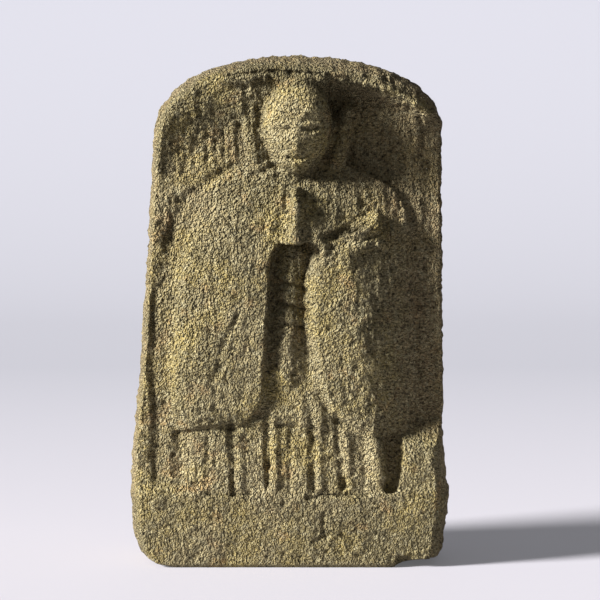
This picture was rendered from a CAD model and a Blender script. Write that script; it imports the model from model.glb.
"""Looks of a small stone stele of a standing jizo: coarse tuff with tool marks, in a plain studio."""

import math

import bmesh
import bpy
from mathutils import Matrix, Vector, noise
from mathutils.bvhtree import BVHTree


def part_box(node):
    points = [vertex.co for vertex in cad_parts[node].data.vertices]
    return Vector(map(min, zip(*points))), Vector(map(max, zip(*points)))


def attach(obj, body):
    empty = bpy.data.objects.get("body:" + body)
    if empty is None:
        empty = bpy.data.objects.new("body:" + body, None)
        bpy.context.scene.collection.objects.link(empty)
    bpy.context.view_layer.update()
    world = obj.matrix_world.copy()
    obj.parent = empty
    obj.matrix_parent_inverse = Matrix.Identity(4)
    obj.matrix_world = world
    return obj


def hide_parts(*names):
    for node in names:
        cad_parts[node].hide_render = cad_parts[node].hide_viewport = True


bl_info = {
    "name": "Stone jizo stele",
    "version": (1, 0, 0),
    "blender": (4, 5, 0),
    "location": "View3D > Sidebar > Stele",
    "description": "Dresses the carved stele in weathered tuff and sets a plain studio round it",
    "category": "Object",
}

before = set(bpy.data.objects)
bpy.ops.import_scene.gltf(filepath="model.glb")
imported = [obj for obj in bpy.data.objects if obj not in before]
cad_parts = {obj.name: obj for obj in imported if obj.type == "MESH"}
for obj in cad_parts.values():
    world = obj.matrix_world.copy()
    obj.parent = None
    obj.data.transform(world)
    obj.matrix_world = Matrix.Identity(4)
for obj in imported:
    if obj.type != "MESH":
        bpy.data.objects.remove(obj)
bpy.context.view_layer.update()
NODE = "jizo_stele"
SKIN = "tuff_stele"
MM = 0.001

# Measures of the solid
LOW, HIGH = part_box(NODE)
HEIGHT = HIGH.z - LOW.z
HALF_WIDTH = (HIGH.x - LOW.x) / 2
NOSE = 5 * MM  # how far the nose stands out before the foot band
FRONT = LOW.y + NOSE  # the foot band's plane
CROWN = 29 * MM  # height of the rounded top
CROWN_RADIUS = 0.8  # its mean radius, as a share of half the width
SPRING = HEIGHT - CROWN  # where the rounded top begins
FOOT_BAND = 29.5 * MM  # height of the plain band below the figure
FIELD_DEPTH = 11 * MM  # from the foot band's plane down to the ground round the figure
HEAD = Vector((2.8 * MM, 0, 174 * MM))  # middle of the head
HEAD_HALF_WIDTH = 13.9 * MM
HEAD_HALF_HEIGHT = 19.5 * MM

# Shifts that keep the noise of one kind of mark from lining up with another's
SWAY_SHIFT = Vector((2, 9, 4))
RUBBLE_SHIFT = Vector((5, 3, 8))
PATCH_SHIFT = Vector((7, 1, 6))
STREAK_SHIFT = Vector((9, 0, 4))
BEND_SEED = 1  # picks the bends of the scoops on the back, which would otherwise change from run to run

# The colour sockets of a Mix node, which share their names with its other sockets
FACTOR, FIRST, SECOND, MIXED = 0, 6, 7, 2


def linear(code):
    """An sRGB hex colour as linear red, green and blue."""
    channels = [int(code[i : i + 2], 16) / 255 for i in (0, 2, 4)]
    return tuple(c / 12.92 if c <= 0.04045 else ((c + 0.055) / 1.055) ** 2.4 for c in channels)


def colour(name, description, code):
    """A colour that a user can change, from its sRGB hex value."""
    return bpy.props.FloatVectorProperty(
        name=name, description=description, subtype="COLOR", min=0, max=1, default=linear(code)
    )


def length(name, description, millimetres):
    """A length that a user can change."""
    return bpy.props.FloatProperty(
        name=name, description=description, default=millimetres * MM, unit="LENGTH", precision=5
    )


def number(name, description, value):
    """A plain number that a user can change."""
    return bpy.props.FloatProperty(name=name, description=description, default=value)


def angle(name, description, degrees):
    """An angle that a user can change."""
    return bpy.props.FloatProperty(
        name=name, description=description, default=math.radians(degrees), subtype="ANGLE"
    )


class StoneCarving(bpy.types.PropertyGroup):
    """Sizes of the marks that tools and weather left on the stone."""

    grid: length("Grid", "Spacing of the mesh before it is halved on the front", 1.25)
    most_triangles: bpy.props.IntProperty(
        name="Most triangles", description="The back and sides are thinned out to this count", default=192000
    )
    sway_size: length("Sway size", "Breadth of the broad unevenness", 16)
    sway: length("Sway", "Height of the broad unevenness", 0.4)
    lump_size: length("Lump size", "Breadth of the lumps left by the pick", 4.2)
    lump: length("Lump", "Height of those lumps", 0.42)
    grain_size: length("Grain size", "Breadth of the coarse grains", 2.0)
    grain: length("Grain", "Height of the coarse grains", 0.37)
    patch_size: length("Patch size", "Breadth of the patches where the grain is worn down or stands proud", 9)
    patch: number("Patchiness", "How much the grain's height differs between patches", 1.1)
    pit_spacing: length("Pit spacing", "Distance between the pits of fallen grains", 4.6)
    pit: length("Pit", "Depth of those pits", 0.9)
    streak_width: length("Streak width", "Spacing of the point chisel's upright strokes", 2.1)
    streak_length: length("Streak length", "Length of those strokes", 24)
    streak: length("Streak", "Depth of those strokes", 0.45)
    scoop_pitch: length("Scoop pitch", "Spacing of the flat chisel's scoops round the edge", 7.6)
    scoop: length("Scoop", "Depth of those scoops", 1.1)
    back_pitch: length("Back pitch", "Spacing of the rough scoops on the back", 13)
    back_scoop: length("Back scoop", "Depth of those rough scoops", 1.3)


class StoneColours(bpy.types.PropertyGroup):
    """Colours of the tuff and what has settled on it."""

    body: colour("Body", "The fresh olive grey of the tuff", "A29168")
    dark: colour("Dark", "The tuff's darker beds", "87784F")
    ochre: colour("Ochre", "Yellowish weathering", "B09A58")
    rust: colour("Rust", "Rusty spots of iron", "AC8552")
    tan: colour("Tan", "The warmer cut of the sides", "A8906A")
    pale: colour("Pale", "Feldspar grains and bruised stone", "D3C8A0")
    black: colour("Black", "Dark mineral grains and soiled pits", "3A321C")


class StudioSetup(bpy.types.PropertyGroup):
    """Light, floor and camera."""

    key: number("Key", "Strength of the key light", 10.2)
    key_turn: angle("Key turn", "How far the key light stands to the left of the front", 71)
    key_height: angle("Key height", "Height of the key light over the floor", 23)
    key_softness: angle("Key softness", "Width of the key light in the sky", 14)
    fill: number("Fill", "Strength of the light from all round", 0.165)
    glow: number("Glow", "Light that the lit-through paper of the sweep gives off", 0.11)
    fill_tint: colour("Fill tint", "Tint of the light from all round", "F6F8FF")
    floor: colour("Floor", "The floor near the stone", "BDB9BF")
    horizon: colour("Horizon", "The floor far behind the stone", "A1A0A7")
    wall: colour("Wall", "The wall above", "A6A5AD")
    distance: bpy.props.FloatProperty(
        name="Distance", description="From the camera to the stone", default=1.2, unit="LENGTH"
    )
    camera_height: angle("Camera height", "How far the camera looks down", 6.7)
    framed: length("Framed", "Width that the picture shows at the stone's front", 233.8)
    aim_right: length("Aim right", "Picture's middle, right of the stone's", 4)
    aim_up: length("Aim up", "Picture's middle, above the underside", 103.5)


def smooth(value, low, high):
    """0 below low, 1 above high and a soft climb between."""
    t = min(max((value - low) / (high - low), 0), 1)
    return t * t * (3 - 2 * t)


class Stroke:
    """A line cut into the front, or standing on it where its depth is negative. Its points are millimetres
    across from the middle and up from the underside, and its reach is how far it goes to either side."""

    def __init__(self, points, reach, depth):
        self.points = [(x * MM, z * MM) for x, z in points]
        self.reach = reach * MM
        self.depth = depth * MM
        xs, zs = zip(*self.points)
        self.low = (min(xs) - self.reach, min(zs) - self.reach)
        self.high = (max(xs) + self.reach, max(zs) + self.reach)

    def near(self, x, z):
        """Whether a place is in the box round the stroke."""
        return self.low[0] < x < self.high[0] and self.low[1] < z < self.high[1]

    def cut(self, x, z):
        """Depth of the cut at a place: full on the line, rounded across and nothing past its reach."""
        nearest = self.reach
        for (x0, z0), (x1, z1) in zip(self.points, self.points[1:]):
            dx, dz = x1 - x0, z1 - z0
            t = ((x - x0) * dx + (z - z0) * dz) / (dx * dx + dz * dz)
            t = min(max(t, 0), 1)
            nearest = min(nearest, math.hypot(x - x0 - t * dx, z - z0 - t * dz))
        share = 1 - nearest / self.reach
        return self.depth * share * share * (3 - 2 * share)


def skirt_strokes():
    """Grooves and ridges of the skirt, and its edges left and right."""
    grooves = [
        Stroke([(-22.8, 56), (-22.4, 44), (-22.4, 31)], 2.3, 1.15),
        Stroke([(-9, 61), (-8.8, 46), (-9, 31)], 2.3, 0.85),
        Stroke([(8.4, 63), (8.8, 46), (8.6, 31)], 2.3, 0.75),
        Stroke([(18.3, 59), (19.6, 45), (20.8, 31)], 2.3, 0.7),
    ]
    ridges_beside_them = [
        Stroke([(-19.4, 55), (-19.2, 32)], 2.4, -0.75),
        Stroke([(-5.8, 60), (-5.8, 32)], 2.4, -0.75),
        Stroke([(11.8, 60), (11.9, 32)], 2.4, -0.75),
        Stroke([(22.2, 55), (23.9, 32)], 2.4, -0.75),
    ]
    faint_grooves = [
        Stroke([(-32, 54), (-32.4, 33)], 1.8, 0.5),
        Stroke([(0.5, 59), (0, 32)], 1.8, 0.4),
        Stroke([(28.6, 51), (29.6, 32)], 1.8, 0.4),
    ]
    even_depth = [
        Stroke([(-22.5, 38), (-22.5, 31)], 2.6, -1.3),
        Stroke([(-9, 38), (-9, 31)], 2.6, -1.3),
        Stroke([(8.7, 42), (8.7, 38.6)], 2.2, -0.9),
        Stroke([(8.8, 37), (9.2, 31)], 2.2, 0.8),
        Stroke([(19.8, 43), (20.2, 39.6)], 2.2, -0.9),
    ]
    edges = [
        Stroke([(-39, 52), (-39.2, 33)], 2.6, -0.7),
        Stroke([(-43.6, 52), (-43.4, 34)], 3, 0.6),
        Stroke([(32.6, 52), (35.4, 36)], 4.6, -2.6),
    ]
    return grooves + ridges_beside_them + faint_grooves + even_depth + edges


def ground_strokes():
    """The ground left of the figure, its joint with the shoulder, and the edge under the crown."""
    return [
        Stroke([(-46.5, 130), (-50.4, 114), (-51.6, 92), (-51.6, 70), (-50.4, 60)], 6, 0.7),
        Stroke([(-52, 62), (-51.6, 36)], 5, 0.5),
        Stroke([(-52.8, 108), (-53.4, 88), (-53.4, 62), (-52.4, 33)], 2.8, 0.5),
        Stroke([(-48, 126), (-45, 137), (-40, 145), (-33, 152), (-22, 157.4)], 3, 0.65),
        Stroke([(-26, 191.6), (-12, 193), (0, 193.2), (13, 192.6)], 3.4, -1.0),
    ]


def opening_strokes():
    """The ground of the opening between the sleeves, and the folds that cross it."""
    ground = [
        Stroke([(2.4, 122), (1.6, 106), (0.4, 92), (-1.6, 78)], 9, -1.9),
        Stroke([(-0.6, 125), (-1.4, 108), (-2.6, 88)], 8, -1.7),
    ]
    folds = [
        Stroke([(-4, 116), (2, 114), (7, 112.5)], 1.6, -0.4),
        Stroke([(-2.6, 112.6), (2, 111.4), (6.6, 109.4)], 1.7, 1.3),
        Stroke([(-4.6, 108.8), (1, 107), (6.8, 105.4)], 1.6, -0.5),
        Stroke([(-4.8, 105.4), (0.5, 103), (6.6, 101.6)], 1.8, 1.4),
        Stroke([(-4.4, 99.6), (1, 98.4), (6, 97.6)], 1.6, -0.4),
        Stroke([(-3.6, 96.6), (0.6, 95.6), (5, 94.8)], 1.6, 1.0),
    ]
    return ground + folds


def sleeve_strokes():
    """Rolls and folds of the sleeves, their cuffs and their hems."""
    rolls = [
        Stroke([(-38.5, 124), (-41.5, 108), (-42.5, 88), (-42.5, 64)], 5.4, -1.35),
        Stroke([(30.5, 120), (32.4, 95), (32.6, 64)], 9, 0.35),
        Stroke([(34.6, 143), (37.6, 134), (39.6, 118)], 2.4, 0.3),
    ]
    folds = [
        Stroke([(-27, 140.4), (-23.6, 136.6), (-16, 133.2), (-9, 130.4)], 1.7, 0.55),
        Stroke([(-20.4, 99.8), (-26.4, 88), (-29.4, 76), (-29.2, 63), (-24.8, 57)], 1.8, 0.45),
    ]
    cuffs = [
        Stroke([(17, 129.5), (24, 132.5), (31, 136)], 5, 1.5),
        Stroke([(22, 124), (30, 127.5), (38, 130)], 6, -1.3),
        Stroke([(5, 144), (8.4, 136), (10.6, 129)], 4.6, -1.3),
        Stroke([(14, 127.6), (23.6, 131.2), (30.3, 133.8), (34.2, 138.4)], 1.8, -0.75),
        Stroke([(17, 131.4), (24.4, 134.4), (29.6, 137)], 2.2, 0.9),
        Stroke([(23.4, 133.6), (25.8, 134.2)], 1.8, 1.5),
        Stroke([(-9.6, 129), (-6.6, 130.8), (-3, 131)], 2, -0.7),
        Stroke([(12.4, 128.6), (13.6, 124.8)], 2, -0.6),
    ]
    hems = [
        Stroke([(11.4, 70), (15, 62), (19.6, 57.4), (31.4, 53.4), (43, 51.4)], 1.7, 0.9),
        Stroke([(-45.4, 53), (-32, 54.6), (-19.6, 55), (-12, 61)], 1.7, 0.7),
    ]
    return rolls + folds + cuffs + hems


def neck_strokes():
    """The left ear, its joint with the head, and the collar."""
    return [
        Stroke([(-18.4, 181), (-15.8, 168), (-12.6, 159)], 3, -0.7),
        Stroke([(-14.4, 179.6), (-12, 168), (-9.4, 159)], 2.6, -1.0),
        Stroke([(-15.4, 154), (-11.4, 155.4), (-6.6, 158.6)], 1.8, 0.7),
        Stroke([(-5.4, 153.6), (2.6, 151.4), (11, 153.6)], 2.2, 0.6),
        Stroke([(-1.4, 150), (-1.8, 142)], 1.6, 0.5),
    ]


def foot_band_strokes():
    """The joint between the skirt and the foot band, and the loose scratches on the band."""
    joint = [
        Stroke([(-32, 29.7), (-24, 29.3), (-15.7, 29.6)], 1.7, 1.3),
        Stroke([(-15.7, 29.6), (11.8, 29.2)], 1.4, 0.35),
        Stroke([(11.8, 29.4), (21, 29.2), (30.3, 29.6)], 1.7, 1.3),
        Stroke([(7, 28), (10.4, 28)], 1.8, 1.5),
    ]
    scratches = [
        Stroke([(13.2, 21.6), (13.5, 13.8)], 1.4, 0.75),
        Stroke([(9.4, 10.2), (14.9, 13)], 1.4, 0.75),
        Stroke([(20.4, 13), (25.5, 10.2)], 1.4, 0.75),
    ]
    return joint + scratches


def face_strokes():
    """Closed lids, brows and a quiet mouth, at shares of the head's half width and half height."""
    lid_seam = ([(0.2, -0.04), (0.38, -0.09), (0.58, -0.03)], 1.3, 0.9)
    lid_fold = ([(0.2, 0.12), (0.38, 0.15), (0.6, 0.1)], 1.3, 0.5)
    brow = ([(0.14, 0.25), (0.36, 0.33), (0.64, 0.25)], 1.6, -0.5)
    lid = ([(0.22, 0.03), (0.39, 0.04), (0.56, 0.03)], 1.3, -0.3)
    nose_wing = ([(0.1, -0.38), (0.22, -0.44)], 1.2, 0.5)
    lines = [
        ([(side * across, up) for across, up in points], reach, depth)
        for side in (-1, 1)
        for points, reach, depth in (lid_seam, lid_fold, brow, lid, nose_wing)
    ]
    lines.append(([(-0.24, -0.63), (-0.08, -0.66), (0.08, -0.66), (0.24, -0.63)], 1.2, 0.9))
    lines.append(([(-0.13, -0.74), (0.13, -0.74)], 1.3, -0.35))

    strokes = []
    for points, reach, depth in lines:
        placed = [
            ((HEAD.x + across * HEAD_HALF_WIDTH) / MM, (HEAD.z + up * HEAD_HALF_HEIGHT) / MM)
            for across, up in points
        ]
        strokes.append(Stroke(placed, reach, depth))
    return strokes


def round_the_edge(place):
    """Way along the silhouette from the underside over the top, for marks that follow the edge."""
    if place.z <= SPRING:
        return place.z
    turn = math.atan2(place.z - SPRING, abs(place.x))
    return SPRING + turn * HALF_WIDTH * CROWN_RADIUS


def scoops(place, normal, carving):
    """Scoops of a flat chisel across the sides and the top, with a sharp ridge between two strokes."""
    row_width = 19 * MM
    row_bend, row_bend_size = 0.4, 30 * MM
    slant = 0.28  # it changes sides from row to row
    row_shift, side_shift = 3.1 * MM, 37 * MM
    wander, wander_size, wander_seed = 6 * MM, 17 * MM, 3.7
    mean, spread, spread_size, spread_seed = 0.62, 0.9, 13 * MM, 5.1
    least = 0.12
    ridge = 0.3  # how far the stone between two scoops stands up, as a share of their depth

    sideways = min(1, math.hypot(normal.x, max(normal.z, 0)) * 1.25) * smooth(normal.y, -0.55, -0.15)
    behind_front = smooth(place.y, FRONT - 1 * MM, FRONT + 4 * MM)
    row = math.floor((place.y - FRONT) / row_width + row_bend * noise.noise(place / row_bend_size))
    way = round_the_edge(place) + (place.y - FRONT) * slant * (1 if row % 2 else -1)
    way += row_shift * row + (side_shift if place.x > 0 else 0)
    way += wander * noise.noise(Vector((way / wander_size, wander_seed * row, 1)))
    strength = mean + spread * noise.noise(Vector((way / spread_size, spread_seed * row, 7)))
    scoop = abs(math.sin(math.pi * way / carving.scoop_pitch)) ** 0.8
    return carving.scoop * (ridge - max(strength, least) * scoop) * behind_front * smooth(sideways, 0.3, 0.9)


def back_scoops(place, normal, carving):
    """Broad rough scoops on the back, in slanting lanes."""
    facing = smooth(normal.y, 0.25, 0.8)
    if facing == 0:
        return 0
    bend, bend_size = 4 * MM, 26 * MM
    slant = 0.55
    lane_width, lane_shift = 24 * MM, 0.37
    mean, spread = 0.6, 0.5

    bent = place + bend * noise.noise_vector(place / bend_size)
    along = bent.x * slant + bent.z
    lane = math.floor((bent.x - slant * bent.z) / lane_width)
    way = along / carving.back_pitch + lane_shift * lane
    depth = mean + spread * noise.noise(Vector((lane, math.floor(way), 11)))
    return -carving.back_scoop * facing * depth * abs(math.sin(math.pi * way))


def streaks(place, normal, carving):
    """Upright strokes of the point chisel in the field and the grooves, and fainter ones on the cloth."""
    facing = smooth(-normal.y, 0.2, 0.7)
    if facing == 0:
        return 0
    sway, sway_size = 1.6 * MM, 22 * MM
    lean = 0.06
    on_cloth, on_foot_band = 0.3, 0.12
    more_in_field = 0.7  # all of it beside the head, and about half of it lower down

    deep = smooth(place.y, FRONT + 2 * MM, FRONT + 6 * MM)
    beside_head = smooth(place.z, 150 * MM, 160 * MM)
    strength = on_cloth + more_in_field * deep * (0.55 + 0.45 * beside_head)
    if place.z < FOOT_BAND:
        strength = on_foot_band
    across = place.x + sway * noise.noise(place / sway_size) + place.z * lean
    lanes = Vector((across / carving.streak_width, 0, place.z / carving.streak_length))
    stroke = noise.noise(lanes) + 0.5 * noise.noise(lanes * 2.1 + STREAK_SHIFT)
    return -carving.streak * facing * strength * max(-0.5, stroke) * 1.4


def pits(place, carving):
    """Round pits where grains have fallen out. About two cells in five hold one."""
    kind_seed, reach_seed = 7.31, 3.7
    least_reach, reach_spread = 0.16, 0.2

    distances, centres = noise.voronoi(place / carving.pit_spacing)
    if noise.cell(centres[0] * kind_seed) > -0.2:
        return 0
    reach = least_reach + reach_spread * abs(noise.cell(centres[0] * reach_seed))
    inside = max(0, 1 - distances[0] / reach)
    return -carving.pit * inside ** 0.7 * (0.5 + reach * 1.4)


def grains(place, carving):
    """Lumps, coarse grains and the fine rubble between them, which stand prouder in some patches."""
    knob_top, knob_slope = 0.55, 1.25
    rubble_size, rubble_height = 0.5, 0.6  # as shares of the grains'

    lumps = carving.lump * noise.noise(place / carving.lump_size)
    distances, _ = noise.voronoi(place / carving.grain_size)
    knobs = carving.grain * (knob_top - knob_slope * distances[0])
    rubble = rubble_height * carving.grain
    rubble *= noise.noise(place / (carving.grain_size * rubble_size) + RUBBLE_SHIFT)
    patch = 1 + carving.patch * noise.noise(place / carving.patch_size + PATCH_SHIFT)
    return lumps + patch * (knobs + rubble)


def face_share(place):
    """1 on the face, which was rubbed smoother than the rest, and 0 beyond it."""
    across = (place.x - HEAD.x) / HEAD_HALF_WIDTH
    up = (place.z - HEAD.z) / HEAD_HALF_HEIGHT
    in_front = smooth(-place.y, -(FRONT + FIELD_DEPTH * 0.6), -FRONT)
    return in_front * (1 - smooth(math.hypot(across, up), 0.75, 1.0))


def mark_height(place, normal, carving):
    """How far tools and weather move a point of the stone along its normal."""
    height = carving.sway * noise.noise(place / carving.sway_size + SWAY_SHIFT)
    height += grains(place, carving) + pits(place, carving)
    height += streaks(place, normal, carving) + scoops(place, normal, carving)
    return height + back_scoops(place, normal, carving)


def stroke_height(place, normal, strokes):
    """How far the strokes of the figure, the ground and the foot band move a point along its normal."""
    if normal.y > -0.15 or place.y > FRONT + FIELD_DEPTH + 4 * MM:
        return 0
    return -sum(stroke.cut(place.x, place.z) for stroke in strokes if stroke.near(place.x, place.z))


def apply_modifiers(stone):
    """Makes what the modifiers show the stone's own mesh."""
    graph = bpy.context.evaluated_depsgraph_get()
    before = stone.data
    after = bpy.data.meshes.new_from_object(stone.evaluated_get(graph))
    stone.modifiers.clear()
    stone.data = after
    bpy.data.meshes.remove(before)
    after.name = SKIN


def even_copy(node, grid):
    """The solid as one even closed skin of small quads, and its exact surface for finding places on it."""
    bm = bmesh.new()
    bm.from_mesh(node.data)
    bmesh.ops.remove_doubles(bm, verts=bm.verts, dist=0.001 * MM)
    exact = BVHTree.FromBMesh(bm)
    mesh = bpy.data.meshes.new(SKIN)
    bm.to_mesh(mesh)
    bm.free()
    stone = bpy.data.objects.new(SKIN, mesh)
    bpy.context.scene.collection.objects.link(stone)
    remesh = stone.modifiers.new("Even grid", "REMESH")
    remesh.mode = "VOXEL"
    remesh.voxel_size = grid
    apply_modifiers(stone)
    return stone, exact


def on_the_front(place, normal):
    """Whether a place belongs to the carved front, which keeps the finest mesh."""
    return place.y < FRONT + FIELD_DEPTH + 2 * MM and normal.y < -0.2


def refine_front(bm, exact):
    """Splits the faces of the carved front, lays every point on the exact surface and softens the facets."""
    bm.normal_update()
    carved = [f for f in bm.faces if on_the_front(f.calc_center_median(), f.normal)]
    edges = list(dict.fromkeys(e for f in carved for e in f.edges))
    bmesh.ops.subdivide_edges(bm, edges=edges, cuts=1, use_grid_fill=True)
    for v in bm.verts:
        v.co = exact.find_nearest(v.co)[0]
    raised = [v for v in bm.verts if v.co.z > 0.3 * MM]
    bmesh.ops.smooth_vert(bm, verts=raised, factor=0.5, use_axis_x=True, use_axis_y=True, use_axis_z=True)


def thin_back(stone, most):
    """Merges points of the back and sides where they lie flattest, until few enough triangles are left."""
    mesh = stone.data
    mesh.calc_loop_triangles()
    plain = stone.vertex_groups.new(name="plain")
    plain.add([v.index for v in mesh.vertices if not on_the_front(v.co, v.normal)], 1.0, "REPLACE")
    thin = stone.modifiers.new("Thin the back", "DECIMATE")
    thin.ratio = min(1, most / len(mesh.loop_triangles))
    thin.vertex_group = plain.name
    apply_modifiers(stone)
    stone.vertex_groups.clear()


def carve_stone(stone, exact, carving):
    """Moves every point of the skin by its marks and strokes, and keeps how high and how rough it is."""
    bm = bmesh.new()
    bm.from_mesh(stone.data)
    refine_front(bm, exact)
    bm.normal_update()
    strokes = skirt_strokes() + ground_strokes() + opening_strokes() + sleeve_strokes()
    strokes += neck_strokes() + foot_band_strokes() + face_strokes()
    # A new layer moves the ones before it, so both are made first and looked up afterwards.
    names = ("lift", "grit")
    for name in names:
        bm.verts.layers.float.new(name)
    lift, grit = (bm.verts.layers.float[name] for name in names)
    noise.seed_set(BEND_SEED)
    moves = []
    for v in bm.verts:
        roughness = 1 - 0.55 * face_share(v.co)
        marks = mark_height(v.co, v.normal, carving) * roughness
        lines = stroke_height(v.co, v.normal, strokes)
        above_floor = smooth(v.co.z, 0.2 * MM, 3 * MM)
        v[lift] = (marks + min(lines, 0)) / MM
        v[grit] = roughness
        moves.append(v.normal * (marks + lines) * above_floor)
    for v, move in zip(bm.verts, moves):
        v.co += move
        v.co.z = max(v.co.z, 0)
    bm.to_mesh(stone.data)
    bm.free()
    thin_back(stone, carving.most_triangles)
    stone.data.shade_smooth()


def add_node(tree, kind, inputs=(), **settings):
    """A shader node with its settings, and its inputs by name or number: a link's socket or a value."""
    node = tree.nodes.new(kind)
    for name, value in settings.items():
        setattr(node, name, value)
    for name, value in dict(inputs).items():
        if isinstance(value, bpy.types.NodeSocket):
            tree.links.new(value, node.inputs[name])
        else:
            node.inputs[name].default_value = value
    return node


def rgba(rgb):
    """A colour with full opacity."""
    return (*rgb, 1)


def add_layers(tree, skin, layers):
    """Lays colours over a first one. Each layer has the value that it follows, where in that value it begins
    and where it is full, how much of what is below it then covers, and its colour."""
    for value, begin, end, share, tint in layers:
        ramp = {"Value": value, "From Min": begin, "From Max": end, "To Max": share}
        amount = add_node(tree, "ShaderNodeMapRange", ramp).outputs["Result"]
        colours = {FACTOR: amount, FIRST: skin, SECOND: rgba(tint)}
        skin = add_node(tree, "ShaderNodeMix", colours, data_type="RGBA").outputs[MIXED]
    return skin


def tuff_material(colours):
    """Coarse volcanic tuff, dressed with a point and weathered outdoors: matt, gritty, uneven in colour."""
    material = bpy.data.materials.new("coarse_tuff")
    material.use_nodes = True
    tree = material.node_tree
    place = add_node(tree, "ShaderNodeTexCoord").outputs["Object"]
    _, back, up = add_node(tree, "ShaderNodeSeparateXYZ", {"Vector": place}).outputs
    lift = add_node(tree, "ShaderNodeAttribute", attribute_name="lift").outputs["Fac"]
    grit = add_node(tree, "ShaderNodeAttribute", attribute_name="grit").outputs["Fac"]

    # Each cloud of noise has its size, its detail and roughness, and a shift that keeps it off the others.
    # Real grit goes down to about 0.2 mm. That is too fine to show, so the finest cloud is 0.9 mm.
    clouds = {}
    for name, size, detail, roughness, shift in (
        ("beds", 30 * MM, 3, 0.55, 0),
        ("weathering", 17 * MM, 3, 0.55, 0.3),
        ("iron", 9 * MM, 3, 0.55, 0.7),
        ("speckle", 0.9 * MM, 2, 0.8, 1.1),
        ("dirt", 1.1 * MM, 2, 0.7, 2.3),
        ("holes", 1.9 * MM, 1, 0.6, 3.1),
        ("gravel", 1.1 * MM, 1, 0.9, 1.7),
    ):
        moved = add_node(tree, "ShaderNodeMapping", {"Vector": place, "Location": (shift, shift, shift)})
        inputs = {"Vector": moved.outputs[0], "Scale": 1 / size, "Detail": detail, "Roughness": roughness}
        clouds[name] = add_node(tree, "ShaderNodeTexNoise", inputs).outputs["Fac"]
    holes = add_node(
        tree, "ShaderNodeMapRange", {"Value": clouds["holes"], "From Min": 0.6, "From Max": 0.74}
    ).outputs["Result"]
    cells = add_node(tree, "ShaderNodeTexVoronoi", {"Vector": place, "Scale": 1 / (1.3 * MM)})
    feldspar = add_node(tree, "ShaderNodeSeparateColor", {"Color": cells.outputs["Color"]}).outputs["Red"]

    layers = (
        (clouds["beds"], 0.4, 0.6, 1, colours.dark),
        (clouds["weathering"], 0.48, 0.66, 0.85, colours.ochre),
        (clouds["iron"], 0.58, 0.7, 0.6, colours.rust),
        (back, FRONT + 3 * MM, FRONT + 9 * MM, 0.6, colours.tan),
        (clouds["speckle"], 0.38, 0.62, 0.4, colours.pale),
        (clouds["dirt"], 0.5, 0.66, 0.8, colours.black),
        (feldspar, 0.8, 0.98, 0.35, colours.pale),
        (up, HEIGHT - 15 * MM, HEIGHT - 4 * MM, 0.3, colours.black),
        (up, FOOT_BAND + 1 * MM, FOOT_BAND - 2 * MM, 0.2, colours.black),
        (holes, 0, 1, 0.6, colours.black),
        (lift, -0.5, -1.6, 0.55, colours.black),
        (lift, 0.2, 0.8, 0.25, colours.pale),
    )
    skin = add_layers(tree, rgba(colours.body), layers)

    # The grit is drawn deeper than it is, because the picture doesn't show its finest part.
    grit_depth = 6.2 * MM
    rubble = add_node(
        tree, "ShaderNodeMath", {0: holes, 1: -0.3, 2: clouds["gravel"]}, operation="MULTIPLY_ADD"
    ).outputs[0]
    relief = add_node(tree, "ShaderNodeMath", {0: rubble, 1: grit}, operation="MULTIPLY").outputs[0]
    bump = add_node(tree, "ShaderNodeBump", {"Height": relief, "Strength": 1, "Distance": grit_depth})

    shader = tree.nodes["Principled BSDF"]
    tree.links.new(skin, shader.inputs["Base Color"])
    tree.links.new(bump.outputs[0], shader.inputs["Normal"])
    shader.inputs["Roughness"].default_value = 0.92
    shader.inputs["IOR"].default_value = 1.5
    shader.inputs["Specular IOR Level"].default_value = 0.25
    return material


class OBJECT_OT_stele_stone(bpy.types.Operator):
    """Makes the weathered stone from the carved solid"""

    bl_idname = "object.stele_stone"
    bl_label = "Weathered stone"

    def execute(self, context):
        carving = context.scene.stele_carving
        stone, exact = even_copy(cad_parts[NODE], carving.grid)
        carve_stone(stone, exact, carving)
        stone.data.materials.clear()
        stone.data.materials.append(tuff_material(context.scene.stele_colours))
        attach(stone, "root")
        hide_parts(NODE)
        return {"FINISHED"}


def sweep_material(studio):
    """Matt paper sweep, lit through a little: its tone falls off gently behind the stone."""
    material = bpy.data.materials.new("paper_sweep")
    material.use_nodes = True
    tree = material.node_tree
    place = add_node(tree, "ShaderNodeTexCoord").outputs["Object"]
    _, back, up = add_node(tree, "ShaderNodeSeparateXYZ", {"Vector": place}).outputs
    layers = ((back, 0.05, 0.55, 1, studio.horizon), (up, 0.02, 0.3, 1, studio.wall))
    tone = add_layers(tree, rgba(studio.floor), layers)

    shader = tree.nodes["Principled BSDF"]
    tree.links.new(tone, shader.inputs["Base Color"])
    shader.inputs["Emission Color"].default_value = rgba(studio.fill_tint)
    shader.inputs["Emission Strength"].default_value = studio.glow
    shader.inputs["Roughness"].default_value = 0.9
    shader.inputs["Specular IOR Level"].default_value = 0.1
    return material


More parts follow.
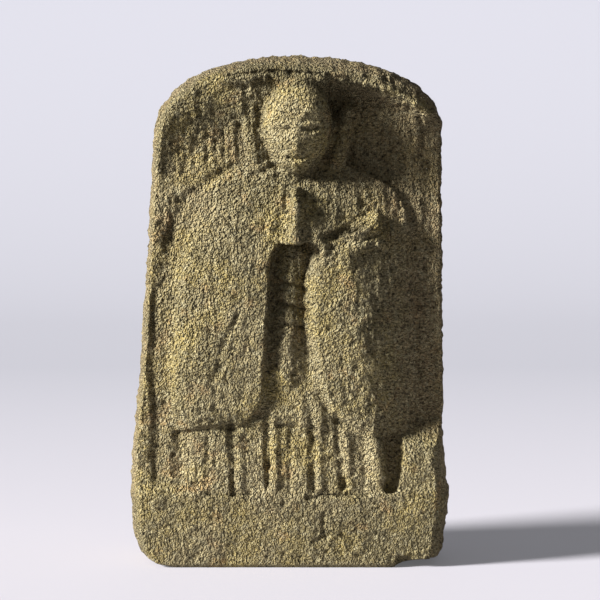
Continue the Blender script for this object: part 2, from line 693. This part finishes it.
def make_sweep(studio):
    """A floor that bends up into a wall behind the stone."""
    reach = 0.42  # from the middle to either side
    front = -0.14
    back = 0.75  # where the floor begins to bend
    bend = 0.7  # radius of the bend
    top = 0.35  # height of the wall above the bend

    bm = bmesh.new()
    start = bm.verts.new((-reach, front, 0))
    corner = bm.verts.new((-reach, back, 0))
    bm.edges.new((start, corner))
    spun = bmesh.ops.spin(
        bm, geom=[corner], cent=(0, back, bend), axis=(1, 0, 0), angle=math.pi / 2, steps=24
    )
    last = next(g for g in spun["geom_last"] if isinstance(g, bmesh.types.BMVert))
    crest = bm.verts.new(last.co + Vector((0, 0, top)))
    bm.edges.new((last, crest))
    extruded = bmesh.ops.extrude_edge_only(bm, edges=bm.edges[:])
    moved = [g for g in extruded["geom"] if isinstance(g, bmesh.types.BMVert)]
    bmesh.ops.translate(bm, verts=moved, vec=(2 * reach, 0, 0))
    bmesh.ops.recalc_face_normals(bm, faces=bm.faces)
    mesh = bpy.data.meshes.new("studio_sweep")
    bm.to_mesh(mesh)
    bm.free()
    mesh.shade_smooth()
    mesh.materials.append(sweep_material(studio))
    sweep = bpy.data.objects.new("studio_sweep", mesh)
    bpy.context.scene.collection.objects.link(sweep)


def make_lights(studio):
    """One fairly small light far to the left, and an even fill from all round."""
    lamp = bpy.data.lights.new("key_light", "SUN")
    lamp.energy = studio.key
    lamp.angle = studio.key_softness
    light = bpy.data.objects.new("key_light", lamp)
    level = math.cos(studio.key_height)
    towards = Vector(
        (-math.sin(studio.key_turn) * level, -math.cos(studio.key_turn) * level, math.sin(studio.key_height))
    )
    light.rotation_euler = (-towards).to_track_quat("-Z", "Y").to_euler()
    bpy.context.scene.collection.objects.link(light)
    world = bpy.data.worlds.new("fill")
    world.use_nodes = True
    sky = world.node_tree.nodes["Background"]
    sky.inputs["Color"].default_value = rgba(studio.fill_tint)
    sky.inputs["Strength"].default_value = studio.fill
    bpy.context.scene.world = world


def make_camera(studio):
    """A long lens above the top of the stone, looking slightly down at it."""
    lens = bpy.data.cameras.new("camera")
    camera = bpy.data.objects.new("camera", lens)
    target = Vector((studio.aim_right, 0, studio.aim_up))
    level = math.cos(studio.camera_height) * studio.distance
    camera.location = target + Vector((0, -level, math.sin(studio.camera_height) * studio.distance))
    camera.rotation_euler = (target - camera.location).to_track_quat("-Z", "Y").to_euler()
    lens.sensor_width = 36
    lens.lens = lens.sensor_width * (studio.distance + FRONT) / studio.framed
    bpy.context.scene.collection.objects.link(camera)
    bpy.context.scene.camera = camera


class OBJECT_OT_stele_studio(bpy.types.Operator):
    """Makes the floor, the light and the camera"""

    bl_idname = "object.stele_studio"
    bl_label = "Studio"

    def execute(self, context):
        studio = context.scene.stele_studio
        make_sweep(studio)
        make_lights(studio)
        make_camera(studio)
        context.scene.view_settings.view_transform = "Standard"
        return {"FINISHED"}


class VIEW3D_PT_stele(bpy.types.Panel):
    """Sizes and colours of the stone and its studio"""

    bl_idname = "VIEW3D_PT_stele"
    bl_label = "Stele"
    bl_space_type = "VIEW_3D"
    bl_region_type = "UI"
    bl_category = "Stele"

    def draw(self, context):
        scene = context.scene
        for operator, groups in (
            (OBJECT_OT_stele_stone, (scene.stele_carving, scene.stele_colours)),
            (OBJECT_OT_stele_studio, (scene.stele_studio,)),
        ):
            box = self.layout.box()
            box.operator(operator.bl_idname)
            for group in groups:
                for name in group.__annotations__:
                    box.prop(group, name)


CLASSES = (
    StoneCarving,
    StoneColours,
    StudioSetup,
    OBJECT_OT_stele_stone,
    OBJECT_OT_stele_studio,
    VIEW3D_PT_stele,
)


def register():
    for item in CLASSES:
        bpy.utils.register_class(item)
    bpy.types.Scene.stele_carving = bpy.props.PointerProperty(type=StoneCarving)
    bpy.types.Scene.stele_colours = bpy.props.PointerProperty(type=StoneColours)
    bpy.types.Scene.stele_studio = bpy.props.PointerProperty(type=StudioSetup)


def unregister():
    del bpy.types.Scene.stele_studio
    del bpy.types.Scene.stele_colours
    del bpy.types.Scene.stele_carving
    for item in reversed(CLASSES):
        bpy.utils.unregister_class(item)


def main():
    """Makes the stone and its studio."""
    register()
    bpy.ops.object.stele_stone()
    bpy.ops.object.stele_studio()


if __name__ == "__main__":
    main()
